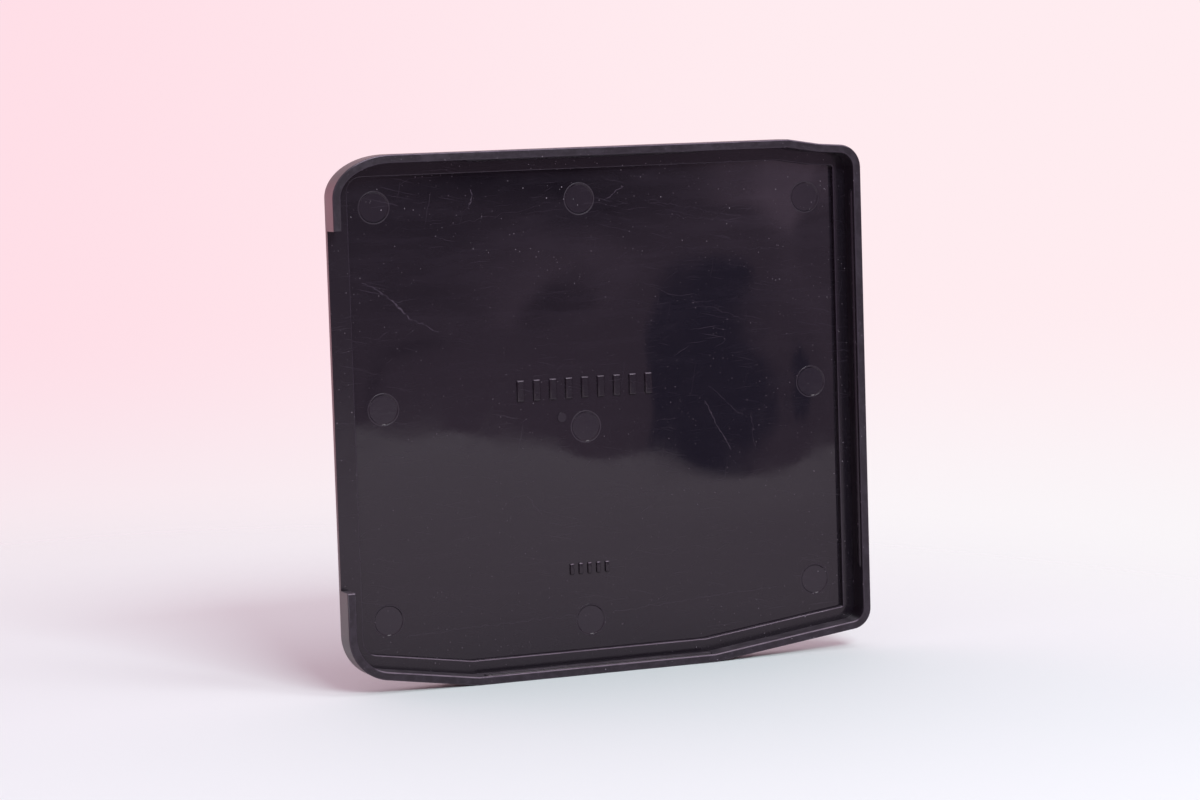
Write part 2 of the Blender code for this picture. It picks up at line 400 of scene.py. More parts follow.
def refine_panel(body, level, spacing, lowest, highest):
    """Cut the faces that lie at one depth into a fine grid."""
    bm = bmesh.new()
    bm.from_mesh(body.data)

    def lying():
        return [f for f in bm.faces
                if all(abs(v.co.y / MM - level) < 0.012 for v in f.verts)
                and min(v.co.x / MM for v in f.verts) > -WIDTH / 2 + lowest - 0.5]

    for axis, start, stop in ((0, -WIDTH / 2, WIDTH / 2), (2, 0.0, HEIGHT)):
        steps = int((stop - start) / spacing)
        for k in range(1, steps):
            at = start + (stop - start) * k / steps
            co = Vector((0, 0, 0))
            co[axis] = at * MM
            no = Vector((0, 0, 0))
            no[axis] = 1.0
            faces = [f for f in lying()
                     if min(v.co[axis] for v in f.verts) < at * MM - 2e-6
                     and max(v.co[axis] for v in f.verts) > at * MM + 2e-6]
            if not faces:
                continue
            edges = list({e for f in faces for e in f.edges})
            verts = list({v for f in faces for v in f.verts})
            bmesh.ops.bisect_plane(bm, geom=faces + edges + verts, dist=1e-7,
                                   plane_co=co, plane_no=no)
    bm.to_mesh(body.data)
    bm.free()


def bend_panel(body):
    """Lay the floor and the raised field behind it on the slow waves."""
    edge = WALL + LEDGE
    for vertex in body.data.vertices:
        x, y, z = (c / MM for c in vertex.co)
        from_edge = min(x + WIDTH / 2 - edge, WIDTH / 2 - edge - x,
                        z - edge, HEIGHT - edge - z)
        fade = smooth(from_edge, 0.0, 9.0)
        if not fade:
            continue
        if y > Y_LEDGE + 0.35:
            off = wave(x, z) * fade
            # the back shows less of it, and never stands out of the box
            if y > Y_BACK - 0.5:
                off = min(0.5 * off - 0.06 * fade, 0.0)
            vertex.co.y += off * MM


def build_cover():
    body = slab("cover_shell", outline_corners(), Y_RIM, Y_BORDER_BACK, pieces)
    combine(body, slab("back_field",
                       inset_corners(BACK_INSET, R_STEP_RIGHT + PANEL, R_STEP_LEFT + PANEL),
                       Y_BORDER_BACK - 0.5, Y_BACK, scratch), "UNION")
    combine(body, slab("cavity_cut", inset_corners(WALL, 1.0), Y_RIM - 2.0, Y_LEDGE,
                       scratch), "DIFFERENCE")
    combine(body, slab("floor_cut", inset_corners(WALL + LEDGE, R_STEP_RIGHT, R_STEP_LEFT),
                       Y_RIM - 1.0, Y_FLOOR, scratch), "DIFFERENCE")
    bm = bmesh.new()
    bmesh.ops.create_cube(bm, size=1.0)
    low = (-2.0, Y_RIM - 1.5, NOTCH_LOW)
    high = (WALL + 1.0, Y_LEDGE, NOTCH_HIGH)
    for vertex in bm.verts:
        for k in range(3):
            value = low[k] + (vertex.co[k] + 0.5) * (high[k] - low[k])
            vertex.co[k] = (value + (X_LEFT if k == 0 else 0.0)) * MM
    combine(body, from_bmesh("notch_cut", bm, scratch), "DIFFERENCE")

    sunk = BEAD_RADIUS - BEAD_PROUD
    y = Y_RIM + BEAD_FROM_RIM
    for name, start, end in (
        ("bead_bottom", (BEAD_X[0], y, WALL - sunk), (BEAD_X[1], y, WALL - sunk)),
        ("bead_top", (BEAD_X[0], y, HEIGHT - WALL + sunk), (BEAD_X[1], y, HEIGHT - WALL + sunk)),
        ("bead_right", (WIDTH - WALL + sunk, y, BEAD_Z[0]), (WIDTH - WALL + sunk, y, BEAD_Z[1])),
    ):
        combine(body, bead(name, start, end, scratch), "UNION")
    settle(body)
    round_edges(body)

    # ejector witnesses, their edges worn
    bm = bmesh.new()
    for x, z in PINS:
        r = PIN_DIAMETER / 2
        slope = PIN_TAPER / PIN_SUNK
        add_cone(bm, x, z, r + slope * 0.2, r - PIN_TAPER, Y_FLOOR - 0.2, Y_FLOOR + PIN_SUNK, 96)
    bmesh.ops.recalc_face_normals(bm, faces=bm.faces)
    combine(body, from_bmesh("witness_cut", bm, scratch), "DIFFERENCE")

    # thin moulded lip round each witness
    bm = bmesh.new()
    for (x, z), share in zip(PINS, LIP_SHARE):
        add_lip(bm, x, z, PIN_DIAMETER / 2 + PIN_TAPER / 2 + LIP[0], LIP[1] * share, 96)
    bmesh.ops.recalc_face_normals(bm, faces=bm.faces)
    combine(body, from_bmesh("witness_lips", bm, scratch), "UNION")

    # gate vestige and tallies
    bm = bmesh.new()
    r = GATE_DIAMETER / 2
    add_cone(bm, GATE[0], GATE[1], r - 0.1, r, Y_FLOOR - GATE_PROUD, Y_FLOOR + 0.3, 48)
    for tally in (TALLY_LARGE, TALLY_SMALL):
        width, height = tally["bar"]
        for k in range(tally["count"]):
            x = tally["centre"][0] + (k - (tally["count"] - 1) / 2) * tally["pitch"]
            add_bar(bm, x, tally["centre"][1], width, height,
                    Y_FLOOR - MARK_PROUD, Y_FLOOR + 0.3, min(SHOULDER, width * 0.3))
    bmesh.ops.recalc_face_normals(bm, faces=bm.faces)
    combine(body, from_bmesh("marks", bm, scratch), "UNION")
    settle(body, 0.05)

    refine_panel(body, Y_FLOOR, GRID, WALL + LEDGE, 0)
    refine_panel(body, Y_BACK, GRID * 2, BACK_INSET, 0)
    refine_panel(body, Y_FLOOR + PIN_SUNK, GRID, WALL + LEDGE, 0)
    mark_finish(body)
    bend_panel(body)

    body.data.shade_smooth()
    body.data.set_sharp_from_angle(angle=math.radians(28))
    bm = bmesh.new()
    bm.from_mesh(body.data)
    raised = bm.faces.layers.float["ring"]
    for rim_edge in bm.edges:
        sides = rim_edge.link_faces
        if len(sides) == 2 and (sides[0][raised] > 0) != (sides[1][raised] > 0):
            rim_edge.smooth = False
    bm.to_mesh(body.data)
    bm.free()
    weighted = body.modifiers.new("normals", "WEIGHTED_NORMAL")
    weighted.mode = "FACE_AREA"
    weighted.keep_sharp = True
    return body


def mark_finish(body):
    """Face values that the plastic reads, all 0 to 1."""
    mesh = body.data
    names = ("satin", "witness", "edge", "ring", "faces_up")
    for name in names:
        mesh.attributes.new(name, "FLOAT", "FACE")
    satin, witness, edge, ring, faces_up = (mesh.attributes[name] for name in names)
    for polygon in mesh.polygons:
        x, y, z = (c / MM for c in polygon.center)
        n = polygon.normal
        outer = (abs(n.y) < 0.5 and n.x * x + n.z * (z - HEIGHT / 2) > 0
                 and (abs(x) > 40.0 or z > 80.0 or z < 8.0))
        rim = y < Y_RIM + RIM_ROUND + 0.05
        if rim:
            value = 1.0
        elif outer and y < Y_BORDER_BACK + 0.1:
            value = 0.75
        elif Y_RIM + 0.4 < y < Y_RIM + 2.1 and 0.1 < abs(n.y) < 0.95:
            value = 0.35            # the beads
        elif y < Y_LEDGE - 0.05:
            value = 0.8
        elif y < Y_FLOOR - 0.03 and not outer and (
                n.y > -0.98 or abs(y - Y_LEDGE) < 0.03):
            value = 0.3
        else:
            value = 0.0
        # painted highlight: rim and ledge roundings get some edge wear, and those that look up get more, which
        # paints them pale
        if 0.12 < abs(n.y) < 0.985 and not outer and (
                rim or abs(y - Y_LEDGE) < STEP_ROUND + 0.02):
            level = n.z / max(math.hypot(n.x, n.z), 1e-6)
            edge.data[polygon.index].value = 0.35 + 0.65 * smooth(level, 0.80, 0.97)
        if y > Y_LEDGE + STEP_ROUND + 0.05 and y < Y_FLOOR + 0.2 and n.y < 0.5:
            for (cx, cz), share in zip(PINS + (GATE,), LIP_SHARE + (0.45,)):
                away = math.hypot(x - cx - X_LEFT, z - cz)
                near, far = ((0.0, GATE_DIAMETER / 2 + 0.02) if (cx, cz) == GATE else
                             (PIN_DIAMETER / 2 - PIN_TAPER - 0.02,
                              PIN_DIAMETER / 2 + PIN_TAPER + 2 * LIP[0]))
                if near <= away <= far and not -0.001 < y - Y_FLOOR < 0.004 and (
                        y < Y_FLOOR + PIN_SUNK - 0.01):
                    # painted highlight: the ring value makes the lips rougher and paints them paler
                    ring.data[polygon.index].value = 0.15 if y > Y_FLOOR else max(share / 1.2, 0.35)
                    value = 0.0
            for tally in (TALLY_LARGE, TALLY_SMALL):
                if (abs(x - tally["centre"][0] - X_LEFT) < tally["count"] * tally["pitch"] / 2 + 1
                        and abs(z - tally["centre"][1]) < tally["bar"][1]):
                    value = 0.25 if y < Y_FLOOR - 0.01 else 0.0
                    # painted highlight: the tops of the bars are painted pale
                    if n.z > 0.35 and y < Y_FLOOR - 0.1:
                        edge.data[polygon.index].value = 1.0 if tally is TALLY_SMALL else 0.7
        satin.data[polygon.index].value = value
        # faces that look up, which are made evenly paler
        if y < Y_FLOOR and not outer:
            faces_up.data[polygon.index].value = smooth(n.z, 0.75, 0.95)
        for px, pz in PINS:
            if (y > Y_FLOOR + 0.06 and y < Y_BACK - 0.8
                    and math.hypot(x - px - X_LEFT, z - pz) < PIN_DIAMETER / 2 + 0.05):
                witness.data[polygon.index].value = 1.0


# ---- materials ---------------------------------------------------------------
def new_material(name, colour, roughness):
    material = bpy.data.materials.new(name)
    material.use_nodes = True
    shader = material.node_tree.nodes["Principled BSDF"]
    shader.inputs["Base Color"].default_value = (*colour, 1.0)
    shader.inputs["Roughness"].default_value = roughness
    return material, material.node_tree, shader


# scratches on the floor, millimetres from its middle: x, z to x, z, half width, strength
SCRATCHES = (
    (-41.5, 68.0, -36.5, 64.8, 0.09, 0.50),
    (-36.5, 64.8, -33.2, 61.4, 0.13, 0.70),
    (-33.2, 61.4, -28.8, 59.0, 0.08, 0.42),
    (-26.0, 76.5, -8.0, 79.6, 0.05, 0.22),
    (9.0, 79.5, 31.0, 75.0, 0.05, 0.26),
    (11.0, 77.0, 36.0, 73.6, 0.05, 0.22),
    (14.0, 71.0, 34.0, 70.2, 0.05, 0.20),
    (17.0, 62.0, 30.0, 57.0, 0.05, 0.22),
    (20.0, 47.0, 26.0, 41.5, 0.06, 0.24),
    (-37.5, 65.2, -34.8, 64.4, 0.05, 0.40),
    (-22.1, 82.4, -22.4, 79.2, 0.09, 0.70),
    (1.6, 79.8, 5.0, 81.9, 0.08, 0.60),
    (19.2, 44.4, 23.8, 35.8, 0.09, 0.40),
    (-36.0, 8.7, -6.0, 9.6, 0.07, 0.22),
    (1.0, 9.6, 29.0, 11.3, 0.07, 0.22),
    (27.8, 42.0, 28.3, 36.0, 0.05, 0.25),
    (-14.0, 30.5, -11.2, 27.0, 0.05, 0.25),
    (9.5, 65.0, 14.0, 62.6, 0.05, 0.22),
)


def black_plastic():
    base = (0.0112, 0.0078, 0.0120)
    worn_tone_and_highlight = (0.064, 0.046, 0.068)
    material, tree, shader = new_material("black_plastic", base, 0.05)
    shader.inputs["Specular Tint"].default_value = (0.97, 0.80, 0.88, 1.0)
    shader.inputs["IOR"].default_value = 1.47
    nodes, links = tree.nodes, tree.links

    def feed(value, socket):
        if isinstance(value, (int, float)):
            socket.default_value = value
        elif isinstance(value, (tuple, Vector)):
            socket.default_value = tuple(value)
        else:
            links.new(value, socket)

    def maths(kind, a, b=None, c=None, clamp=False):
        made = nodes.new("ShaderNodeMath")
        made.operation = kind
        made.use_clamp = clamp
        for k, value in enumerate((a, b, c)):
            if value is not None:
                feed(value, made.inputs[k])
        return made.outputs[0]

    def vector(kind, a, b=None, scale=None):
        made = nodes.new("ShaderNodeVectorMath")
        made.operation = kind
        feed(a, made.inputs[0])
        if b is not None:
            feed(b, made.inputs[1])
        if scale is not None:
            feed(scale, made.inputs["Scale"])
        return made.outputs["Value" if kind in ("LENGTH", "DOT_PRODUCT") else "Vector"]

    def ramp(value, low, high, to_low=0.0, to_high=1.0):
        made = nodes.new("ShaderNodeMapRange")
        made.interpolation_type = "SMOOTHSTEP"
        links.new(value, made.inputs["Value"])
        made.inputs["From Min"].default_value = low
        made.inputs["From Max"].default_value = high
        made.inputs["To Min"].default_value = to_low
        made.inputs["To Max"].default_value = to_high
        return made.outputs["Result"]

    def noise(at, scale, detail=2.0, roughness=0.5, distortion=0.0):
        made = nodes.new("ShaderNodeTexNoise")
        feed(at, made.inputs["Vector"])
        made.inputs["Scale"].default_value = scale
        made.inputs["Detail"].default_value = detail
        made.inputs["Roughness"].default_value = roughness
        made.inputs["Distortion"].default_value = distortion
        return made.outputs["Fac"]

    def face_value(name):
        made = nodes.new("ShaderNodeAttribute")
        made.attribute_type = "GEOMETRY"
        made.attribute_name = name
        return made.outputs["Fac"]

    place = nodes.new("ShaderNodeTexCoord").outputs["Object"]
    at = vector("SCALE", place, scale=1000.0)          # millimetres
    split = nodes.new("ShaderNodeSeparateXYZ")
    links.new(at, split.inputs[0])
    satin = face_value("satin")
    witness = face_value("witness")
    # the edge value is partly edge wear and partly a painted highlight on edges that look up
    edge_wear_and_highlight = face_value("edge")
    ring = face_value("ring")
    faces_up = face_value("faces_up")
    on_floor = ramp(split.outputs["Y"], Y_LEDGE + 0.5, Y_LEDGE + 0.9)
    on_floor = maths("MULTIPLY", on_floor, ramp(split.outputs["Y"], Y_BACK - 0.4, Y_BACK - 0.6))

    # named scratches, their line slightly unsteady
    flat = nodes.new("ShaderNodeCombineXYZ")
    links.new(split.outputs["X"], flat.inputs["X"])
    links.new(split.outputs["Z"], flat.inputs["Z"])
    shake = nodes.new("ShaderNodeTexNoise")
    links.new(flat.outputs[0], shake.inputs["Vector"])
    shake.inputs["Scale"].default_value = 0.45
    shake.inputs["Detail"].default_value = 3.0
    drift = vector("SUBTRACT", shake.outputs["Color"], (0.5, 0.5, 0.5))
    shaken = vector("ADD", flat.outputs[0], vector("MULTIPLY", drift, (1.6, 0.0, 1.6)))
    gently = vector("ADD", flat.outputs[0], vector("MULTIPLY", drift, (0.6, 0.0, 0.6)))
    broken = ramp(noise(flat.outputs[0], 1.3, 3.0), 0.28, 0.55)
    marks = None
    for x0, z0, x1, z1, half, strength in SCRATCHES:
        start, run = Vector((x0, 0, z0)), Vector((x1 - x0, 0, z1 - z0))
        from_start = vector("SUBTRACT", shaken, start)
        along = vector("DOT_PRODUCT", from_start, run / run.length_squared)
        along = maths("MINIMUM", maths("MAXIMUM", along, 0.0), 1.0)
        nearest = vector("SCALE", tuple(run), scale=along)
        away = vector("LENGTH", vector("SUBTRACT", from_start, nearest))
        line = ramp(away, half * 0.3, half * 1.3, strength, 0.0)
        marks = line if marks is None else maths("MAXIMUM", marks, line)
    marks = maths("MULTIPLY", maths("MULTIPLY", marks, broken), on_floor)

    # fine hairlines from wiping: stretched noise in three directions
    hairs = None
    for turn, stretch, level, gain in ((4.0, (0.11, 0.0, 5.2), 0.715, 0.30),
                                       (-14.0, (0.10, 0.0, 4.3), 0.715, 0.28),
                                       (31.0, (0.16, 0.0, 4.8), 0.750, 0.24),
                                       (78.0, (0.09, 0.0, 4.0), 0.765, 0.20)):
        rotated = nodes.new("ShaderNodeVectorRotate")
        rotated.rotation_type = "Y_AXIS"
        links.new(gently, rotated.inputs["Vector"])
        rotated.inputs["Angle"].default_value = math.radians(turn)
        thin = noise(vector("MULTIPLY", rotated.outputs[0], stretch), 1.0, 1.0, 0.4)
        hair = ramp(thin, level - 0.03, level + 0.02, 0.0, gain)
        hairs = hair if hairs is None else maths("MAXIMUM", hairs, hair)
    patches = ramp(noise(flat.outputs[0], 0.045, 2.0), 0.42, 0.62, 0.25, 1.0)
    higher = ramp(split.outputs["Z"], 38.0, 78.0, 0.65, 1.25)
    hairs = maths("MULTIPLY", maths("MULTIPLY", hairs, patches), ramp(satin, 0.9, 0.2))
    hairs = maths("MULTIPLY", hairs, higher)
    # haze of many fine wipe marks, mostly high on the floor
    haze = noise(vector("MULTIPLY", gently, (0.05, 0.0, 0.30)), 1.0, 5.0, 0.7, 0.5)
    haze = maths("MULTIPLY", ramp(haze, 0.42, 0.72, 0.0, 0.09), ramp(split.outputs["Z"], 40.0, 80.0, 0.25, 1.0))
    haze = maths("MULTIPLY", haze, on_floor)

    # dust: small specks of two sizes
    dust = None
    for scale, reach, share, gain in ((0.80, 0.072, 0.85, 0.75), (1.30, 0.075, 0.65, 0.50),
                                      (0.38, 0.036, 0.60, 0.90)):
        cell = nodes.new("ShaderNodeTexVoronoi")
        cell.feature = "F1"
        links.new(at, cell.inputs["Vector"])
        cell.inputs["Scale"].default_value = scale
        pick = nodes.new("ShaderNodeSeparateXYZ")
        links.new(cell.outputs["Color"], pick.inputs[0])
        speck = ramp(cell.outputs["Distance"], reach * 0.5, reach * 1.3, gain, 0.0)
        keep = maths("GREATER_THAN", pick.outputs["X"], 1.0 - share)
        speck = maths("MULTIPLY", maths("MULTIPLY", speck, keep),
                      maths("ADD", maths("MULTIPLY", pick.outputs["Y"], 0.7), 0.3))
        dust = speck if dust is None else maths("MAXIMUM", dust, speck)

    # more of it lies along the edges and under the top wall
    edge = maths("MAXIMUM", ramp(split.outputs["Z"], 55.0, 84.0), ramp(split.outputs["X"], 28.0, 44.0))
    lies = maths("MULTIPLY", ramp(noise(at, 0.09, 3.0), 0.38, 0.62, 0.25, 1.0),
                 maths("ADD", maths("MULTIPLY", maths("MAXIMUM", edge, satin), 0.85),
                       maths("ADD", maths("MULTIPLY", satin, 0.45), 0.42)))
    dust = maths("MULTIPLY", dust, lies)
    # the faces that look up get a thin even layer of the same pale colour as the specks
    dust = maths("MAXIMUM", dust, maths("MULTIPLY", faces_up, ramp(noise(at, 0.4, 3.0), 0.3, 0.7, 0.07, 0.15)))

    # worn flecks on the rim's edges
    flecks = ramp(noise(at, 1.7, 4.0, 0.70), 0.57, 0.72)
    mottle = ramp(noise(at, 0.8, 5.0, 0.7), 0.40, 0.66, 0.0, 0.24)
    flecks = maths("MAXIMUM", maths("MULTIPLY", flecks, 0.85), mottle)
    flecks = maths("MULTIPLY", flecks, ramp(satin, 0.9, 1.0))
    # edge wear with painted highlight on edges that look up, paler lips as painted highlight, and slightly paler
    # witness faces
    rubbed_and_highlight = maths("MULTIPLY", edge_wear_and_highlight, ramp(noise(at, 0.5, 3.0, 0.6), 0.30, 0.62, 0.6, 1.0))
    rubbed_and_highlight = maths("MAXIMUM", rubbed_and_highlight, maths("MULTIPLY", ring, 0.26))
    rubbed_and_highlight = maths("MAXIMUM", rubbed_and_highlight, maths("MULTIPLY", witness, 0.10))

    # scratches, hairlines, flecks and haze are wear; the rubbed edges and lips in it are painted highlight
    wear_with_highlight = maths("MAXIMUM", maths("MAXIMUM", marks, hairs), maths("MAXIMUM", flecks, rubbed_and_highlight))
    wear_with_highlight = maths("MAXIMUM", wear_with_highlight, haze)
    mix = nodes.new("ShaderNodeMix")
    mix.data_type = "RGBA"
    colours = [k for k in mix.inputs if k.type == "RGBA"]
    links.new(wear_with_highlight, mix.inputs["Factor"])
    colours[0].default_value = (*base, 1.0)
    colours[1].default_value = (*worn_tone_and_highlight, 1.0)
    first = [k for k in mix.outputs if k.type == "RGBA"][0]
    lint = nodes.new("ShaderNodeMix")
    lint.data_type = "RGBA"
    colours = [k for k in lint.inputs if k.type == "RGBA"]
    links.new(dust, lint.inputs["Factor"])
    links.new(first, colours[0])
    colours[1].default_value = (0.46, 0.36, 0.44, 1.0)
    second = [k for k in lint.outputs if k.type == "RGBA"][0]
    # painted highlight: the rubbed edges that look up, and the tops of the bars, are painted palest where light
    # would catch them
    painted_edge_highlight = nodes.new("ShaderNodeMix")
    painted_edge_highlight.data_type = "RGBA"
    colours = [k for k in painted_edge_highlight.inputs if k.type == "RGBA"]
    links.new(maths("MULTIPLY", rubbed_and_highlight, ramp(edge_wear_and_highlight, 0.4, 0.9)), painted_edge_highlight.inputs["Factor"])
    links.new(second, colours[0])
    colours[1].default_value = (0.175, 0.128, 0.165, 1.0)
    links.new([k for k in painted_edge_highlight.outputs if k.type == "RGBA"][0], shader.inputs["Base Color"])

    # gloss: smudges, wipe marks, witnesses and satin walls are duller
    smudge = ramp(noise(at, 0.085, 4.0, 0.55, 0.6), 0.40, 0.70, 0.028, 0.075)
    rough = maths("ADD", smudge, maths("MULTIPLY", witness, 0.035))
    dull = maths("MULTIPLY", satin, ramp(edge_wear_and_highlight, 0.0, 1.0, 0.38, 0.16))
    rough = maths("ADD", rough, dull)
    rough = maths("ADD", rough, maths("MULTIPLY", maths("MAXIMUM", maths("MAXIMUM", marks, hairs), flecks), 0.45))
    rough = maths("ADD", rough, maths("MULTIPLY", haze, 0.15))
    rough = maths("ADD", rough, maths("MULTIPLY", ring, 0.38))
    rough = maths("ADD", rough, maths("MULTIPLY", dust, 0.7), clamp=True)
    links.new(rough, shader.inputs["Roughness"])

    # grain of the satin faces, faint orange peel of the gloss, machined witness faces
    grain = noise(at, 6.0, 3.0, 0.6)
    peel = noise(at, 0.55, 2.0, 0.5)
    swirl = noise(vector("MULTIPLY", at, (1.3, 1.0, 5.0)), 1.0, 2.0, 0.6)
    height = maths("MULTIPLY", maths("MULTIPLY", grain, satin), 0.010)
    height = maths("ADD", height, maths("MULTIPLY", peel, 0.0012))
    height = maths("ADD", height, maths("MULTIPLY", maths("MULTIPLY", swirl, witness), 0.010))
    height = maths("ADD", height, maths("MULTIPLY", dust, 0.05))
    bump = nodes.new("ShaderNodeBump")
    bump.inputs["Strength"].default_value = 1.0
    bump.inputs["Distance"].default_value = 0.001
    links.new(height, bump.inputs["Height"])
    links.new(bump.outputs[0], shader.inputs["Normal"])
    return material


# ---- build ---------------------------------------------------------------------
cover = build_cover()
plastic = black_plastic()
cover.data.materials.clear()
cover.data.materials.append(plastic)
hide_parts("moulded_cover")
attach(cover, "root")
for ob in list(scratch.objects):
    bpy.data.objects.remove(ob, do_unlink=True)
bpy.data.collections.remove(scratch)


# ---- studio --------------------------------------------------------------------
def emission_material(name, build):
    material = bpy.data.materials.new(name)
    material.use_nodes = True
    tree = material.node_tree
    tree.nodes.clear()
    out = tree.nodes.new("ShaderNodeOutputMaterial")
    build(tree, out)
    return material


def ring_floor(radius, rings, sides):
    bm = bmesh.new()
    middle = bm.verts.new((0, 0, 0))
    last = None
    for r in range(1, rings + 1):
        ring = []
        for k in range(sides):
            a = 2 * math.pi * k / sides
            ring.append(bm.verts.new((radius * r / rings * math.cos(a),
                                      radius * r / rings * math.sin(a), 0)))
        for k in range(sides):
            j = (k + 1) % sides
            if last is None:
                bm.faces.new((middle, ring[k], ring[j]))
            else:
                bm.faces.new((last[k], ring[k], ring[j], last[j]))
        last = ring
    return from_bmesh("table", bm, studio)


def table_material():
    material = bpy.data.materials.new("white_table")
    material.use_nodes = True
    tree = material.node_tree
    shader = tree.nodes["Principled BSDF"]
    shader.inputs["Base Color"].default_value = (0.86, 0.865, 0.885, 1.0)
    shader.inputs["Roughness"].default_value = 0.75
    shader.inputs["Specular IOR Level"].default_value = 0.25
    out = tree.nodes["Material Output"]
    place = tree.nodes.new("ShaderNodeTexCoord")
    split = tree.nodes.new("ShaderNodeSeparateXYZ")
    tree.links.new(place.outputs["Object"], split.inputs[0])
    # the table's front edge runs slantwise; elsewhere it fades out with distance
    along = tree.nodes.new("ShaderNodeVectorMath")
    along.operation = "DOT_PRODUCT"
    edge = Vector((0.184, -0.294, 0)) - Vector((0.091, -0.428, 0))
    normal = Vector((edge.y, -edge.x, 0)).normalized()
    along.inputs[1].default_value = normal
    tree.links.new(place.outputs["Object"], along.inputs[0])
    at = normal.dot(Vector((0.091, -0.428, 0)))
    front = tree.nodes.new("ShaderNodeMapRange")
    front.interpolation_type = "SMOOTHSTEP"
    tree.links.new(along.outputs["Value"], front.inputs["Value"])
    front.inputs["From Min"].default_value = at - 0.006
    front.inputs["From Max"].default_value = at + 0.006

    def ramp(value, low, high):
        made = tree.nodes.new("ShaderNodeMapRange")
        made.interpolation_type = "SMOOTHSTEP"
        tree.links.new(value, made.inputs["Value"])
        made.inputs["From Min"].default_value = low
        made.inputs["From Max"].default_value = high
        return made.outputs["Result"]

    def pair(kind, a, b):
        made = tree.nodes.new("ShaderNodeMath")
        made.operation = kind
        tree.links.new(a, made.inputs[0])
        tree.links.new(b, made.inputs[1])
        return made.outputs[0]

    def distance(stretch, centre):
        wide = tree.nodes.new("ShaderNodeVectorMath")
        wide.operation = "MULTIPLY"
        wide.inputs[1].default_value = (stretch, 1.0, 1.0)
        tree.links.new(place.outputs["Object"], wide.inputs[0])
        length = tree.nodes.new("ShaderNodeVectorMath")
        length.operation = "DISTANCE"
        length.inputs[1].default_value = (centre[0] * stretch, centre[1], 0.0)
        tree.links.new(wide.outputs[0], length.inputs[0])
        return length.outputs["Value"]

    # sooner behind the cover, and to its right, than in front of it
    behind = pair("MULTIPLY", ramp(distance(1.7, (-0.04, -0.10)), 0.15, 0.42),
                  ramp(split.outputs["Y"], -0.20, -0.05))
    far = pair("MAXIMUM", behind, ramp(distance(1.0, (0.06, -0.20)), 0.26, 0.64))
    most = tree.nodes.new("ShaderNodeMath")
    most.operation = "MAXIMUM"
    tree.links.new(front.outputs["Result"], most.inputs[0])
    tree.links.new(far, most.inputs[1])
    clear = tree.nodes.new("ShaderNodeBsdfTransparent")
    mix = tree.nodes.new("ShaderNodeMixShader")
    tree.links.new(most.outputs[0], mix.inputs[0])
    tree.links.new(shader.outputs[0], mix.inputs[1])
    tree.links.new(clear.outputs[0], mix.inputs[2])
    tree.links.new(mix.outputs[0], out.inputs["Surface"])
    return material


table = ring_floor(0.9, 12, 64)
table.data.materials.append(table_material())


def card(name, centre, size, towards, colour, strength):
    """A glowing board that only reflections and shading see."""
    bm = bmesh.new()
    bmesh.ops.create_grid(bm, x_segments=8, y_segments=8, size=0.5)
    for vertex in bm.verts:
        vertex.co.x *= size[0]
        vertex.co.y *= size[1]
    ob = from_bmesh(name, bm, studio)
    ob.location = centre
    ob.rotation_euler = (Vector(towards) - Vector(centre)).to_track_quat("Z", "Y").to_euler()

    def build(tree, out):
        glow = tree.nodes.new("ShaderNodeEmission")
        glow.inputs["Color"].default_value = (*colour, 1.0)
        glow.inputs["Strength"].default_value = strength
        tree.links.new(glow.outputs[0], out.inputs["Surface"])

    ob.data.materials.append(emission_material(name, build))
    ob.visible_camera = False
    ob.visible_shadow = False
    return ob


# pink paper at the back left, beside the view
card("pink_board", (-0.62, 0.95, 0.25), (0.7, 0.7), (-0.0475, 0.0, 0.05), (1.0, 0.50, 0.60), 1.8)


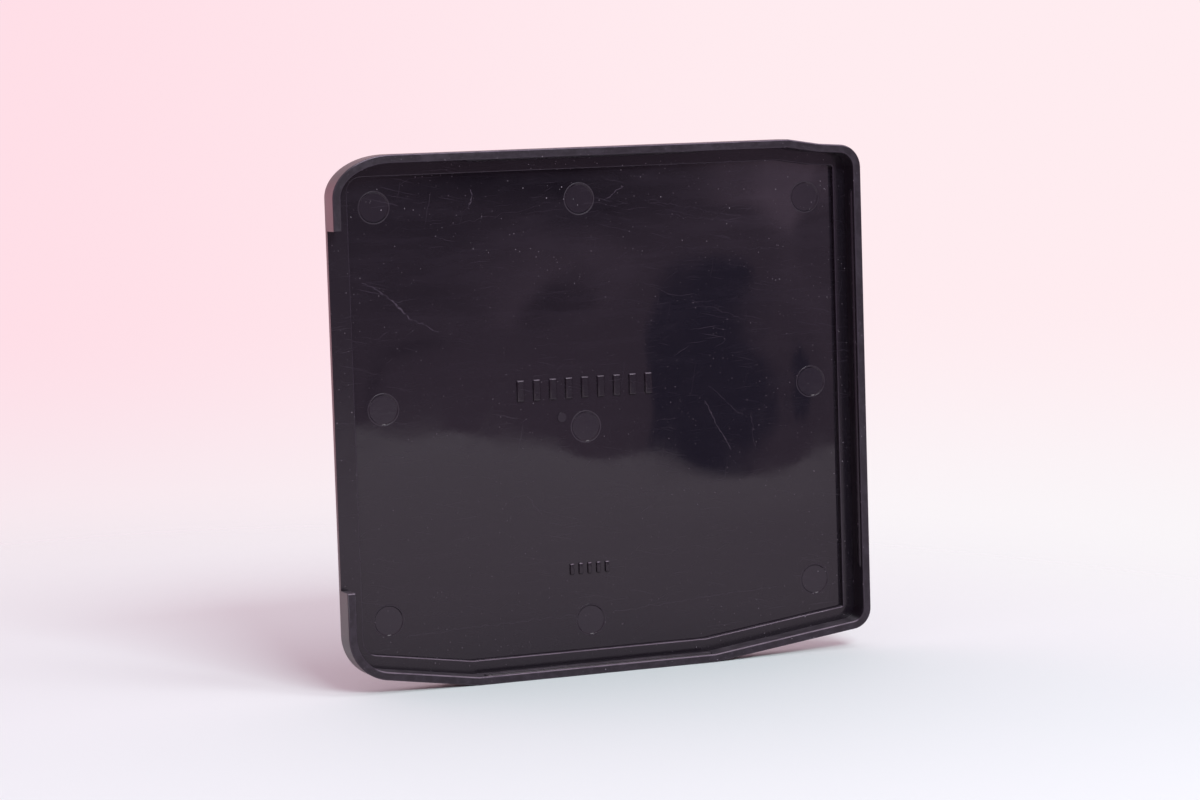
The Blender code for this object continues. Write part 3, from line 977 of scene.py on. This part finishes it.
def room_material():
    """Dim room that the gloss of the floor shows: soft patches and a dark flag."""
    eye = Vector((-0.2100, 0.5341, 0.0989))
    reach = 3.1

    def build(tree, out):
        nodes, links = tree.nodes, tree.links

        def ramp(value, low, high, to_low, to_high):
            made = nodes.new("ShaderNodeMapRange")
            made.interpolation_type = "SMOOTHSTEP"
            links.new(value, made.inputs["Value"])
            for name, number in (("From Min", low), ("From Max", high),
                                 ("To Min", to_low), ("To Max", to_high)):
                made.inputs[name].default_value = number
            return made.outputs["Result"]

        def maths(kind, a, b):
            made = nodes.new("ShaderNodeMath")
            made.operation = kind
            for k, value in enumerate((a, b)):
                if isinstance(value, (int, float)):
                    made.inputs[k].default_value = value
                else:
                    links.new(value, made.inputs[k])
            return made.outputs[0]

        def patch(u, v, ru, rv, soft=0.6):
            """1 inside an ellipse given where it shows on the floor, millimetres."""
            cx = eye.x + (u * MM - eye.x) * reach
            cz = eye.z + (v * MM - eye.z) * reach
            moved = nodes.new("ShaderNodeVectorMath")
            moved.operation = "SUBTRACT"
            links.new(warped, moved.inputs[0])
            moved.inputs[1].default_value = (cx, 0.0, cz)
            scaled = nodes.new("ShaderNodeVectorMath")
            scaled.operation = "MULTIPLY"
            links.new(moved.outputs[0], scaled.inputs[0])
            scaled.inputs[1].default_value = (1 / (ru * MM * reach), 0.0, 1 / (rv * MM * reach))
            size = nodes.new("ShaderNodeVectorMath")
            size.operation = "LENGTH"
            links.new(scaled.outputs[0], size.inputs[0])
            return ramp(size.outputs["Value"], 1.0 - soft, 1.0 + soft, 1.0, 0.0)

        def board(u, v, ru, rv, lean):
            """1 inside a rounded rectangle, wider towards its top by lean."""
            cx = eye.x + (u * MM - eye.x) * reach
            cz = eye.z + (v * MM - eye.z) * reach
            split = nodes.new("ShaderNodeSeparateXYZ")
            links.new(warped, split.inputs[0])
            total = None
            up = maths("DIVIDE", maths("SUBTRACT", split.outputs["Z"], cz), rv * MM * reach)
            half = maths("ADD", maths("MULTIPLY", up, lean), 1.0)
            across = maths("DIVIDE", maths("SUBTRACT", split.outputs["X"], cx), ru * MM * reach)
            across = maths("DIVIDE", across, half)
            for off in (across, up):
                power = maths("POWER", maths("ABSOLUTE", off, 0.0), 4.0)
                total = power if total is None else maths("ADD", total, power)
            return ramp(total, 0.7, 1.7, 1.0, 0.0)

        place = nodes.new("ShaderNodeNewGeometry").outputs["Position"]
        unsteady = nodes.new("ShaderNodeTexNoise")
        links.new(place, unsteady.inputs["Vector"])
        unsteady.inputs["Scale"].default_value = 9.0
        centred = nodes.new("ShaderNodeVectorMath")
        centred.operation = "SUBTRACT"
        links.new(unsteady.outputs["Color"], centred.inputs[0])
        centred.inputs[1].default_value = (0.5, 0.5, 0.5)
        small = nodes.new("ShaderNodeVectorMath")
        small.operation = "SCALE"
        links.new(centred.outputs[0], small.inputs[0])
        small.inputs["Scale"].default_value = 0.05
        joined = nodes.new("ShaderNodeVectorMath")
        joined.operation = "ADD"
        links.new(place, joined.inputs[0])
        links.new(small.outputs[0], joined.inputs[1])
        warped = joined.outputs[0]

        level = None
        for u, v, ru, rv, soft, gain in (
            (-18.0, 79.0, 24.0, 7.5, 0.7, -0.26),
            (-6.0, 84.0, 36.0, 5.0, 0.6, -0.12),
            (-38.0, 68.0, 8.0, 8.0, 0.8, -0.07),
            (-9.0, 66.0, 15.0, 7.0, 0.4, 0.16),
            (-7.0, 62.5, 6.5, 3.4, 0.45, -0.36),
            (-34.5, 57.5, 5.0, 1.3, 0.7, -0.20),
            (-39.0, 51.5, 1.3, 5.5, 0.7, -0.20),
            (-28.0, 66.0, 9.0, 3.0, 0.8, -0.12),
            (25.0, 86.0, 7.0, 3.5, 0.6, 0.35),
            (37.0, 83.0, 7.0, 8.0, 0.5, 0.70),
            (40.0, 64.0, 5.0, 22.0, 0.8, 0.12),
            (-20.0, 46.0, 22.0, 10.0, 0.8, 0.06),
        ):
            part = maths("MULTIPLY", patch(u, v, ru, rv, soft), gain)
            level = part if level is None else maths("ADD", level, part)
        level = maths("ADD", level, 0.37)
        bright = nodes.new("ShaderNodeMix")
        bright.data_type = "RGBA"
        sockets = [k for k in bright.inputs if k.type == "RGBA"]
        links.new(level, bright.inputs["Factor"])
        sockets[0].default_value = (0.0, 0.0, 0.0, 1.0)
        sockets[1].default_value = (1.0, 0.85, 1.06, 1.0)
        # the flag: one low board with round corners and soft edges
        flag = board(19.6, 43.0, 7.4, 22.0, 0.10)
        dark = nodes.new("ShaderNodeMix")
        dark.data_type = "RGBA"
        pair = [k for k in dark.inputs if k.type == "RGBA"]
        links.new(flag, dark.inputs["Factor"])
        links.new([k for k in bright.outputs if k.type == "RGBA"][0], pair[0])
        pair[1].default_value = (0.03, 0.05, 0.12, 1.0)
        glow = nodes.new("ShaderNodeEmission")
        links.new([k for k in dark.outputs if k.type == "RGBA"][0], glow.inputs["Color"])
        links.new(glow.outputs[0], out.inputs["Surface"])

    middle = eye + (Vector((0.0, 0.00165, 0.058)) - eye) * reach
    bm = bmesh.new()
    bmesh.ops.create_grid(bm, x_segments=4, y_segments=4, size=0.5)
    for vertex in bm.verts:
        x, y = vertex.co.x * 0.62, vertex.co.y * 0.50
        vertex.co = (middle.x + x, middle.y, middle.z + y)
    ob = from_bmesh("dim_room", bm, studio)
    ob.data.materials.append(emission_material("dim_room", build))
    ob.visible_camera = False
    ob.visible_shadow = False
    ob.visible_diffuse = False
    return ob


room_material()

world = bpy.data.worlds.new("studio")
bpy.context.scene.world = world
world.use_nodes = True
tree = world.node_tree
tree.nodes.clear()


def wnode(kind, **settings):
    made = tree.nodes.new(kind)
    for key, value in settings.items():
        setattr(made, key, value)
    return made


def wrange(value, low, high):
    made = wnode("ShaderNodeMapRange", interpolation_type="SMOOTHSTEP")
    tree.links.new(value, made.inputs["Value"])
    made.inputs["From Min"].default_value = low
    made.inputs["From Max"].default_value = high
    return made.outputs["Result"]


def wmix(factor, a, b):
    made = wnode("ShaderNodeMix", data_type="RGBA")
    tree.links.new(factor, made.inputs["Factor"])
    for socket, value in (("A", a), ("B", b)):
        target = [s for s in made.inputs if s.name == socket and s.type == "RGBA"][0]
        if isinstance(value, tuple):
            target.default_value = (*value, 1.0)
        else:
            tree.links.new(value, target)
    return [s for s in made.outputs if s.type == "RGBA"][0]


def lin(r, g, b):
    """sRGB of 0 to 255 as linear light."""
    return tuple(((c / 255 + 0.055) / 1.055) ** 2.4 if c > 10 else c / 255 / 12.92
                 for c in (r, g, b))


where = wnode("ShaderNodeTexCoord")
parts = wnode("ShaderNodeSeparateXYZ")
tree.links.new(where.outputs["Generated"], parts.inputs[0])
high = parts.outputs["Z"]
side = parts.outputs["X"]
depth = parts.outputs["Y"]
# seen behind the object: pink above, white below, pinker to the left
across = wrange(side, 0.17, 0.45)
upper = wmix(across, lin(255, 222, 231), lin(255, 236, 240))
lower = wmix(across, lin(246, 236, 241), lin(250, 246, 249))
seen = wmix(wrange(high, -0.142, -0.060), lower, upper)
# what the light and the reflections see
room = wmix(wrange(depth, -0.25, 0.35), (0.38, 0.285, 0.385), (1.00, 0.69, 0.77))
ambient = wmix(wrange(high, 0.1, 0.9), room, (0.62, 0.52, 0.58))
path = wnode("ShaderNodeLightPath")
chosen = wmix(path.outputs["Is Camera Ray"], ambient, seen)
glow = wnode("ShaderNodeBackground")
tree.links.new(chosen, glow.inputs["Color"])
glow.inputs["Strength"].default_value = 1.0
out = wnode("ShaderNodeOutputWorld")
tree.links.new(glow.outputs[0], out.inputs["Surface"])


def area(name, place, target, size, power, colour):
    light = bpy.data.lights.new(name, "AREA")
    light.shape = "RECTANGLE"
    light.size, light.size_y = size
    light.energy = power
    light.color = colour
    ob = bpy.data.objects.new(name, light)
    ob.location = place
    ob.rotation_euler = (Vector(target) - Vector(place)).to_track_quat("-Z", "Y").to_euler()
    studio.objects.link(ob)
    return ob


def from_angles(azimuth, elevation, distance):
    a, e = math.radians(azimuth), math.radians(elevation)
    return (distance * math.sin(a) * math.cos(e), -distance * math.cos(a) * math.cos(e),
            distance * math.sin(e))


# a soft box in front of the cover, and a smaller one higher up at the right
area("key", from_angles(5, 37, 1.3), (0, 0, 0.02), (0.50, 0.34), 10.6, (0.79, 1.01, 0.98))
area("over", from_angles(40, 58, 1.3), (0, 0, 0.04), (0.30, 0.62), 2.6, (0.86, 1.0, 0.98))

# ---- camera ------------------------------------------------------------------
lens = bpy.data.cameras.new("camera")
camera = bpy.data.objects.new("camera", lens)
studio.objects.link(camera)
ahead = Vector((0.3650136, 0.9264327, -0.0921280)).normalized()
right = Vector((0.9288922, -0.3690574, -0.0309193))
right = (right - ahead * right.dot(ahead)).normalized()
up = right.cross(ahead)
turn = Matrix((right, up, -ahead)).transposed()
camera.matrix_world = Matrix.Translation((-0.210004, -0.530843, 0.098870)) @ turn.to_4x4()
lens.sensor_fit = "HORIZONTAL"
lens.sensor_width = 36.0
lens.lens = 101.8085
lens.clip_start = 0.01
lens.clip_end = 20.0
bpy.context.scene.camera = camera

settings = bpy.context.scene.view_settings
settings.view_transform = "Standard"
settings.look = "None"
settings.exposure = 0.0
settings.gamma = 1.0

bpy.context.view_layer.update()
